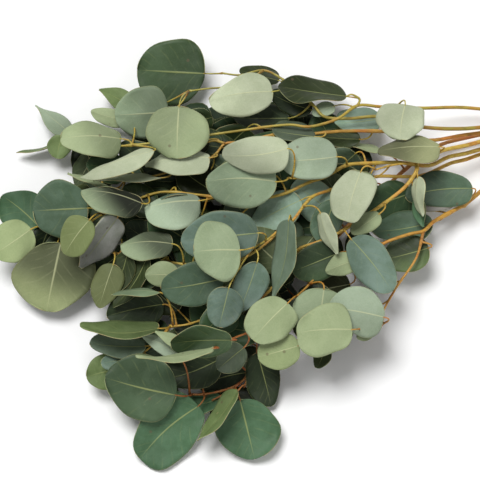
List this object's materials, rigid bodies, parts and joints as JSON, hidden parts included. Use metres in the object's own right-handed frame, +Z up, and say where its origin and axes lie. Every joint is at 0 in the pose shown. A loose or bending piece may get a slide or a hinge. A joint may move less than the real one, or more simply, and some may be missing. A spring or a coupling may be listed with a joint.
{
  "type": "eucalyptus bunch",
  "caption": "Cut bunch of silver-dollar eucalyptus lying flat, round grey-green leaves on thin yellow-olive stems that gather in a plain rubber band.",
  "frame": {"origin": "middle of the bounding box on the table the bunch lies on", "axes": "+X along the stems towards their cut ends, +Y away from the viewer, +Z up from the table"},
  "size_m": [0.6268, 0.4454, 0.1077],
  "materials": {
    "leaf_green": "matte",
    "leaf_pale": "matte",
    "stem": "satin",
    "band": "matte"
  },
  "bodies": {
    "root": {"stem_top": "stem", "stem_crown": "stem", "stem_upper": "stem", "stem_yellow": "stem", "stem_middle": "stem", "stem_long": "stem", "stem_orange": "stem", "stem_low": "stem", "leaf_crown_round": "leaf_green", "leaf_crown_grey": "leaf_pale", "leaf_crown_front": "leaf_pale", "leaf_crown_pale": "leaf_pale", "leaf_crown_dark": "leaf_green", "leaf_left_pale": "leaf_pale", "leaf_left_folded": "leaf_pale", "leaf_left_under": "leaf_pale", "leaf_left_edge_on": "leaf_pale", "leaf_left_shaded": "leaf_pale", "leaf_left_half": "leaf_pale", "leaf_left_blue": "leaf_green", "leaf_left_yellow": "leaf_pale", "leaf_left_end_up": "leaf_green", "leaf_left_end_pale": "leaf_pale", "leaf_left_purple": "leaf_green", "leaf_left_big": "leaf_pale", "leaf_middle_shaded": "leaf_pale", "leaf_middle_grey": "leaf_green", "leaf_middle_front": "leaf_pale", "leaf_middle_blue": "leaf_green", "leaf_middle_small": "leaf_green", "leaf_middle_drop": "leaf_green", "leaf_middle_narrow": "leaf_green", "leaf_middle_wave": "leaf_pale", "leaf_middle_curved": "leaf_pale", "leaf_middle_wide": "leaf_pale", "leaf_middle_behind": "leaf_green", "leaf_middle_round": "leaf_green", "leaf_middle_pale": "leaf_pale", "leaf_low_folded": "leaf_green", "leaf_low_olive": "leaf_green", "leaf_low_edge_on": "leaf_pale", "leaf_low_green": "leaf_green", "leaf_low_corner": "leaf_green", "leaf_low_narrow": "leaf_green", "leaf_low_round": "leaf_green", "leaf_right_a": "leaf_pale", "leaf_right_b": "leaf_pale", "leaf_right_c": "leaf_pale", "leaf_right_d": "leaf_pale", "leaf_right_e": "leaf_pale", "leaf_right_f": "leaf_green", "leaf_right_g": "leaf_green", "leaf_right_h": "leaf_green", "leaf_right_blue": "leaf_green", "leaf_right_hanging": "leaf_pale", "leaf_right_shaded": "leaf_pale", "leaf_right_pointed": "leaf_pale", "leaf_right_teal": "leaf_green", "leaf_right_long": "leaf_green", "rubber_band": "band"}
  },
  "joints": []
}
